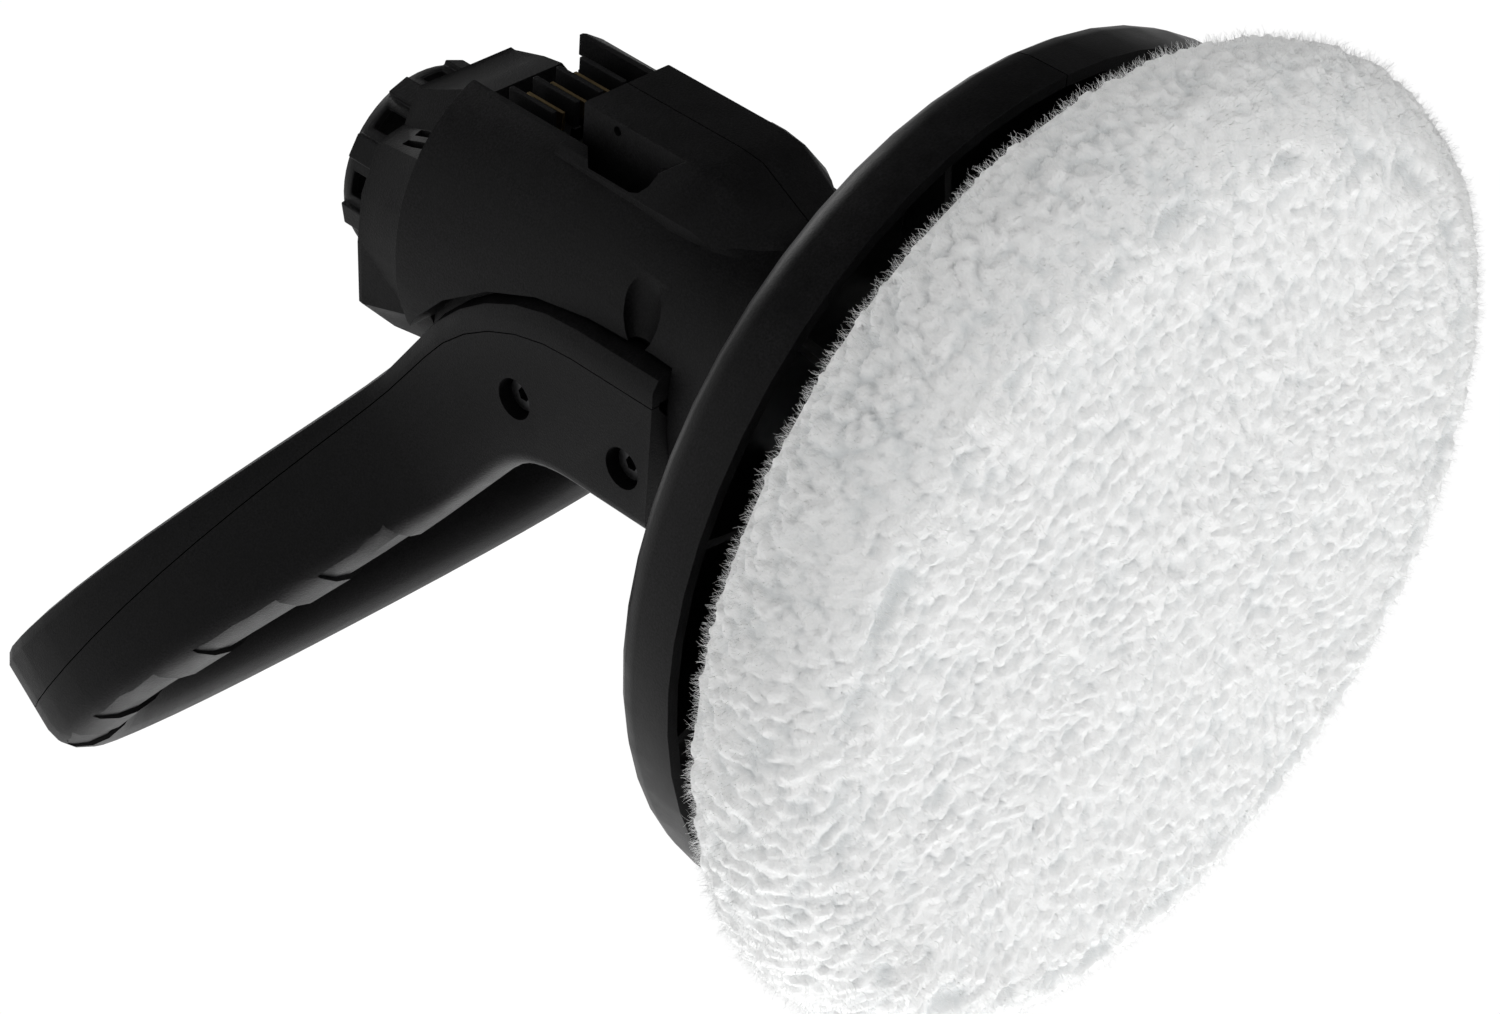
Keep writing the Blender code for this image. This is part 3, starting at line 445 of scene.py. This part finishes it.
def make_fibres(points, normal, length, lock, count=9000, steps=4):
    """One lock of loose curled fibres that stand out of the pile, densest at the rounded edge."""
    rng = np.random.default_rng(11 + lock)
    area = np.where(length > FACE_R - 6, 2.4, 0.8)
    area = np.where(length > FACE_R + EDGE_R * math.pi - 2, 0.0, area)
    chosen = rng.choice(len(points), size=count, p=area / area.sum())
    root, up = points[chosen], normal[chosen]
    side = np.cross(up, rng.normal(size=(count, 3)))
    side /= np.linalg.norm(side, axis=1)[:, None]
    other = np.cross(up, side)
    reach = rng.uniform(1.2, 3.4, count)
    curl = rng.uniform(0.3, 0.9, count)
    twist = rng.uniform(2.0, 5.5, count)
    start = rng.uniform(0, math.tau, count)
    thick = rng.uniform(0.035, 0.07, count)
    verts = []
    for step in range(steps):
        share = step / (steps - 1)
        turn = start + twist * share
        rise = reach * (share * 0.9 - 0.10)
        centre = (root + up * rise[:, None] + side * (curl * share * np.cos(turn))[:, None]
                  + other * (curl * share * np.sin(turn) + reach * 0.35 * share)[:, None])
        wide = thick * (1.0 - 0.6 * share)
        for corner in range(3):
            spoke = math.tau * corner / 3
            verts.append(centre + side * (wide * math.cos(spoke))[:, None]
                         + other * (wide * math.sin(spoke))[:, None])
    verts = np.stack(verts, axis=1).reshape(-1, 3)
    faces = []
    size = steps * 3
    for strand in range(count):
        base = strand * size
        for step in range(steps - 1):
            here = base + 3 * step
            for corner in range(3):
                beyond = (corner + 1) % 3
                faces.append((here + corner, here + beyond, here + 3 + beyond, here + 3 + corner))
        faces.append((base + 2, base + 1, base))
        faces.append((base + size - 3, base + size - 2, base + size - 1))
    fibres = mesh_object(f"wool_fibres_{lock}", verts * MM, faces, "white_wool", "spindle",
                         "wool_bonnet")
    # The fibres get full pile height, so they carry no painted shade.
    store = fibres.data.attributes.new("pile", "FLOAT", "POINT")
    store.data.foreach_set("value", np.ones(len(fibres.data.vertices)))


# ---------------------------------------------------------------- foam pad and elastic

FOAM_HOLE_R = 13.2
FOAM_STEPS = 28


def make_foam():
    """The foam ring, with a cut, slightly uneven surface and softened edges."""
    low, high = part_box("foam_pad")
    outer, inner = high[0] / MM - 0.4, FOAM_HOLE_R
    bottom, top = low[2] / MM + 0.3, high[2] / MM - 0.3
    profile = []
    for share in np.linspace(0, 1, FOAM_STEPS):
        profile.append((inner + (outer - inner) * share, bottom))
    profile += [(outer + 0.2, bottom + (top - bottom) * share) for share in (0.1, 0.4, 0.6, 0.9)]
    for share in np.linspace(1, 0, FOAM_STEPS):
        profile.append((inner + (outer - inner) * share, top))
    count = 180
    points = []
    for radius, height in profile:
        for i in range(count):
            a = math.tau * i / count
            spot = Vector((radius * math.cos(a), radius * math.sin(a), height))
            points.append(spot + noise.noise_vector(spot / 3.0) * 0.18)
    pad = mesh_object("foam_pad_cells", np.array(points) * MM, ring_faces(len(profile), count),
                      "grey_foam", "spindle", "foam_pad")


def make_hem():
    """The gathered elastic band that draws the bonnet's mouth in."""
    low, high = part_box("elastic_hem")
    middle, height = (high[0] / MM - 2.2), (low[2] + high[2]) / 2 / MM
    count, gathers = 720, 96
    points = []
    for k in range(10):
        turn = math.tau * k / 10
        for i in range(count):
            a = math.tau * i / count
            gather = 0.45 * math.sin(gathers * a) + 0.2 * math.sin(37 * a)
            radius = middle + gather + 1.25 * math.cos(turn)
            z = height + (0.85 + 0.15 * math.cos(gathers * a)) * math.sin(turn)
            points.append((radius * math.cos(a), radius * math.sin(a), z))
    mesh_object("gathered_hem", np.array(points) * MM, ring_faces(10, count),
                "white_elastic", "spindle", "elastic_hem")


# ---------------------------------------------------------------- hard shells

SHARP_ANGLE = math.radians(32)
SOFT_EDGES = {"left_housing": 0.6, "right_housing": 0.6, "rear_collar": 0.8, "motor_end_cap": 0.5,
              "switch_rocker": 0.6, "terminal_block": 0.4}


def shading_group():
    """A node group that joins a CAD mesh's triangles and smooths it up to the sharp angle."""
    group = bpy.data.node_groups.new("round_shading", "GeometryNodeTree")
    group.interface.new_socket("Geometry", in_out="INPUT", socket_type="NodeSocketGeometry")
    group.interface.new_socket("Geometry", in_out="OUTPUT", socket_type="NodeSocketGeometry")
    nodes, link = group.nodes, group.links.new
    start, end = nodes.new("NodeGroupInput"), nodes.new("NodeGroupOutput")
    merge = nodes.new("GeometryNodeMergeByDistance")
    merge.inputs["Distance"].default_value = 0.001 * MM
    normals = nodes.new("GeometryNodeSetMeshNormal")
    angle = nodes.new("GeometryNodeInputMeshEdgeAngle")
    sharp = nodes.new("FunctionNodeCompare")
    sharp.inputs["B"].default_value = SHARP_ANGLE
    link(start.outputs["Geometry"], merge.inputs["Geometry"])
    link(angle.outputs["Unsigned Angle"], sharp.inputs["A"])
    link(merge.outputs["Geometry"], normals.inputs["Mesh"])
    link(sharp.outputs["Result"], normals.inputs["Edge Sharpness"])
    link(normals.outputs["Mesh"], end.inputs["Geometry"])
    return group


def shade_nodes():
    group = shading_group()
    for node in NODES.values():
        node.modifiers.new("round_shading", "NODES").node_group = group


def soften(name, width):
    """Merge coplanar triangles and round the hard edges of a moulded shell."""
    node = NODES[name]
    flatten = node.modifiers.new("flatten", "DECIMATE")
    flatten.decimate_type = "DISSOLVE"
    flatten.angle_limit = math.radians(1.0)
    bevel = node.modifiers.new("soften", "BEVEL")
    bevel.width = width * MM
    bevel.segments = 3
    bevel.limit_method = "ANGLE"
    bevel.angle_limit = math.radians(38)
    bevel.harden_normals = True


# ---------------------------------------------------------------- stage

VIEW_RIGHT = Vector((-0.7021, 0.0651, -0.7091))
VIEW_DOWN = Vector((0.3819, -0.8061, -0.4521))
VIEW_AHEAD = Vector((-0.6010, -0.5882, 0.5411))
CAMERA_PLACE = Vector((0.6091, 0.5463, -0.4167))
TARGET = Vector((0.0, -0.02, 0.12))


def make_camera():
    data = bpy.data.cameras.new("camera")
    data.lens = 96.0
    data.sensor_width = 36.0
    data.clip_start = 0.01
    data.clip_end = 50.0
    camera = bpy.data.objects.new("camera", data)
    turn = Matrix((VIEW_RIGHT, -VIEW_DOWN, -VIEW_AHEAD)).transposed().to_4x4()
    camera.matrix_world = Matrix.Translation(CAMERA_PLACE) @ turn
    bpy.context.scene.collection.objects.link(camera)
    bpy.context.scene.camera = camera


def make_world():
    """A white studio: bright all round and below, dimmer overhead."""
    world = bpy.data.worlds.new("studio")
    bpy.context.scene.world = world
    world.use_nodes = True
    tree = world.node_tree
    place = tree.nodes.new("ShaderNodeTexCoord").outputs["Generated"]
    along = tree.nodes.new("ShaderNodeVectorMath")
    along.operation = "DOT_PRODUCT"
    along.inputs[1].default_value = VIEW_DOWN
    tree.links.new(place, along.inputs[0])
    level = tree.nodes.new("ShaderNodeMapRange")
    level.interpolation_type = "SMOOTHSTEP"
    for key, value in (("From Min", -0.70), ("From Max", -0.20), ("To Min", 0.08), ("To Max", 1.02)):
        level.inputs[key].default_value = value
    tree.links.new(along.outputs["Value"], level.inputs["Value"])
    tree.links.new(level.outputs["Result"], tree.nodes["Background"].inputs["Strength"])
    tree.nodes["Background"].inputs["Color"].default_value = (1.0, 1.0, 1.0, 1.0)


def make_floor():
    """A plain pale floor, low enough that the camera sees the pad's face from above it."""
    half, height = 4.0, -1.5
    mesh = bpy.data.meshes.new("floor")
    corners = [(-half, -half, height), (half, -half, height), (half, half, height),
               (-half, half, height)]
    mesh.from_pydata(corners, [], [(0, 1, 2, 3)])
    made = Finish("studio_floor", 0.9)
    made.link(made.mixed(made.noise(400.0), (0.86, 0.86, 0.86), (0.90, 0.90, 0.90)), "Base Color")
    mesh.materials.append(made.material)
    floor = bpy.data.objects.new("floor", mesh)
    bpy.context.scene.collection.objects.link(floor)


def softbox(name, direction, distance, size, power):
    """A square area light at a distance from the polisher, facing it."""
    data = bpy.data.lights.new(name, "AREA")
    data.size = size
    data.energy = power
    light = bpy.data.objects.new(name, data)
    light.location = TARGET + direction.normalized() * distance
    light.rotation_mode = "QUATERNION"
    light.rotation_quaternion = (TARGET - light.location).to_track_quat("-Z", "Y")
    light.visible_camera = False
    bpy.context.scene.collection.objects.link(light)


def make_stage():
    make_camera()
    make_world()
    make_floor()
    softbox("key", -VIEW_AHEAD * 0.7 + VIEW_RIGHT * 0.7 - VIEW_DOWN * 0.5, 1.6, 0.9, 6.5)
    softbox("bounce", VIEW_DOWN * 0.9 + VIEW_AHEAD * 0.4 + VIEW_RIGHT * 0.1, 1.2, 1.0, 19.0)
    softbox("rim", -VIEW_DOWN * 0.8 + VIEW_AHEAD * 0.5 - VIEW_RIGHT * 0.6, 1.4, 0.5, 5.0)
    bpy.context.scene.view_settings.view_transform = "Standard"


# ---------------------------------------------------------------- build

finish_nodes()
PILE_SURFACE = make_bonnet()
for lock in range(1, 5):
    make_fibres(*PILE_SURFACE, lock)
make_foam()
make_hem()
shade_nodes()
for shell, edge_width in SOFT_EDGES.items():
    soften(shell, edge_width)
make_stage()
